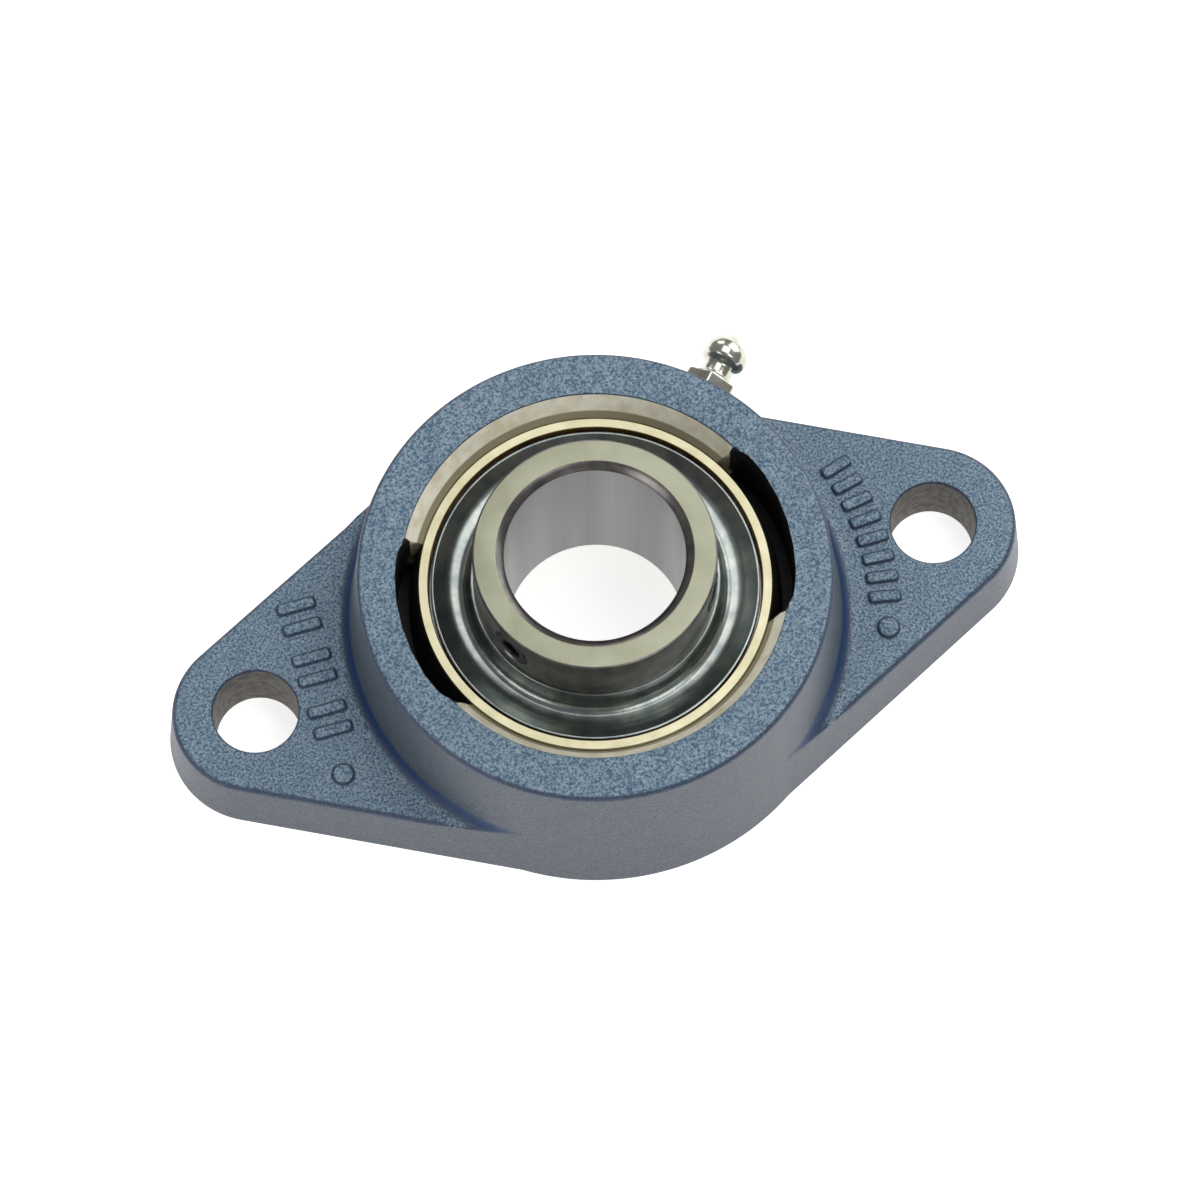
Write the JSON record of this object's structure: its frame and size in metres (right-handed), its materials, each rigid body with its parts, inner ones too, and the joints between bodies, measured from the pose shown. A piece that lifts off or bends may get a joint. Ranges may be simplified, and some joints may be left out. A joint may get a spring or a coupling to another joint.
{
  "type": "flange mount bearing",
  "caption": "Oval two-bolt cast flange housing with a self-aligning ball bearing insert, grub screws in a long inner ring and a side grease nipple.",
  "frame": {"origin": "centre of the flat mounting face, on the bearing axis", "axes": "+Z along the bearing axis out of the mounting face, +X through both bolt holes, +Y towards the grease nipple's side"},
  "size_m": [0.1242, 0.0708, 0.0357],
  "materials": {
    "blue_painted_iron": "granular blue enamel over cast iron",
    "ring_steel": "ground bearing steel",
    "inner_ring_steel": "ground bearing steel",
    "flinger_steel": "dark glossy pressed steel",
    "seal_plate_steel": "zinc-plated pressed steel",
    "seal_rubber": "moulded nitrile rubber",
    "ball_steel": "polished chrome steel",
    "cage_nylon": "glass-filled nylon",
    "screw_steel": "black oxide steel",
    "nipple_zinc": "bright zinc-plated steel",
    "spring_steel": "drawn spring wire"
  },
  "bodies": {
    "housing_group": {"housing": "blue_painted_iron", "grease_nipple_body": "nipple_zinc", "nipple_spring": "spring_steel"},
    "outer_ring_group": {"outer_ring": "ring_steel", "front_seal_plate": "seal_plate_steel", "front_seal_lip": "seal_rubber", "rear_seal_plate": "seal_plate_steel", "rear_seal_lip": "seal_rubber"},
    "inner_ring_group": {"inner_ring": "inner_ring_steel", "front_flinger": "flinger_steel", "rear_flinger": "flinger_steel"},
    "cage_group": {"cage": "cage_nylon"},
    "grub_screw_1_group": {"grub_screw_1": "screw_steel"},
    "grub_screw_2_group": {"grub_screw_2": "screw_steel"},
    "check_ball_group": {"nipple_check_ball": "ball_steel"},
    "ball_1_group": {"ball_1": "ball_steel"},
    "ball_2_group": {"ball_2": "ball_steel"},
    "ball_3_group": {"ball_3": "ball_steel"},
    "ball_4_group": {"ball_4": "ball_steel"},
    "ball_5_group": {"ball_5": "ball_steel"},
    "ball_6_group": {"ball_6": "ball_steel"},
    "ball_7_group": {"ball_7": "ball_steel"},
    "ball_8_group": {"ball_8": "ball_steel"},
    "ball_9_group": {"ball_9": "ball_steel"}
  },
  "joints": [
    {"name": "insert_align", "type": "hinge", "parent": "housing_group", "child": "outer_ring_group", "pos_m": [0, 0, 0.0159], "axis": [1, 0, 0], "range_deg": [-5, 5]},
    {"name": "inner_ring_spin", "type": "hinge", "parent": "outer_ring_group", "child": "inner_ring_group", "pos_m": [0, 0, 0.0159], "axis": [0, 0, 1], "continuous": true},
    {"name": "cage_spin", "type": "hinge", "parent": "outer_ring_group", "child": "cage_group", "pos_m": [0, 0, 0.0159], "axis": [0, 0, 1], "continuous": true},
    {"name": "ball_1_spin", "type": "hinge", "parent": "cage_group", "child": "ball_1_group", "pos_m": [0.0194, 0, 0.0159], "axis": [0, 0, 1], "continuous": true},
    {"name": "ball_2_spin", "type": "hinge", "parent": "cage_group", "child": "ball_2_group", "pos_m": [0.01486, 0.01247, 0.0159], "axis": [0, 0, 1], "continuous": true},
    {"name": "ball_3_spin", "type": "hinge", "parent": "cage_group", "child": "ball_3_group", "pos_m": [0.00337, 0.01911, 0.0159], "axis": [0, 0, 1], "continuous": true},
    {"name": "ball_4_spin", "type": "hinge", "parent": "cage_group", "child": "ball_4_group", "pos_m": [-0.0097, 0.0168, 0.0159], "axis": [0, 0, 1], "continuous": true},
    {"name": "ball_5_spin", "type": "hinge", "parent": "cage_group", "child": "ball_5_group", "pos_m": [-0.01823, 0.00664, 0.0159], "axis": [0, 0, 1], "continuous": true},
    {"name": "ball_6_spin", "type": "hinge", "parent": "cage_group", "child": "ball_6_group", "pos_m": [-0.01823, -0.00664, 0.0159], "axis": [0, 0, 1], "continuous": true},
    {"name": "ball_7_spin", "type": "hinge", "parent": "cage_group", "child": "ball_7_group", "pos_m": [-0.0097, -0.0168, 0.0159], "axis": [0, 0, 1], "continuous": true},
    {"name": "ball_8_spin", "type": "hinge", "parent": "cage_group", "child": "ball_8_group", "pos_m": [0.00337, -0.01911, 0.0159], "axis": [0, 0, 1], "continuous": true},
    {"name": "ball_9_spin", "type": "hinge", "parent": "cage_group", "child": "ball_9_group", "pos_m": [0.01486, -0.01247, 0.0159], "axis": [0, 0, 1], "continuous": true},
    {"name": "grub_screw_1_travel", "type": "slide", "parent": "inner_ring_group", "child": "grub_screw_1_group", "axis": [0.866, -0.5, 0], "range_m": [-0.0006, 0.0012]},
    {"name": "grub_screw_2_travel", "type": "slide", "parent": "inner_ring_group", "child": "grub_screw_2_group", "axis": [-0.866, -0.5, 0], "range_m": [-0.0006, 0.0012]},
    {"name": "check_ball_travel", "type": "slide", "parent": "housing_group", "child": "check_ball_group", "axis": [0.682, 0.7314, 0], "range_m": [-0.0006, 0], "stiffness_N_per_m": 200, "springref_m": 0.0008}
  ],
  "couplings": [
    {"joint": "cage_spin", "follows": "inner_ring_spin", "ratio": 0.3977},
    {"joint": "ball_1_spin", "follows": "inner_ring_spin", "ratio": -2.342},
    {"joint": "ball_2_spin", "follows": "inner_ring_spin", "ratio": -2.342},
    {"joint": "ball_3_spin", "follows": "inner_ring_spin", "ratio": -2.342},
    {"joint": "ball_4_spin", "follows": "inner_ring_spin", "ratio": -2.342},
    {"joint": "ball_5_spin", "follows": "inner_ring_spin", "ratio": -2.342},
    {"joint": "ball_6_spin", "follows": "inner_ring_spin", "ratio": -2.342},
    {"joint": "ball_7_spin", "follows": "inner_ring_spin", "ratio": -2.342},
    {"joint": "ball_8_spin", "follows": "inner_ring_spin", "ratio": -2.342},
    {"joint": "ball_9_spin", "follows": "inner_ring_spin", "ratio": -2.342}
  ]
}
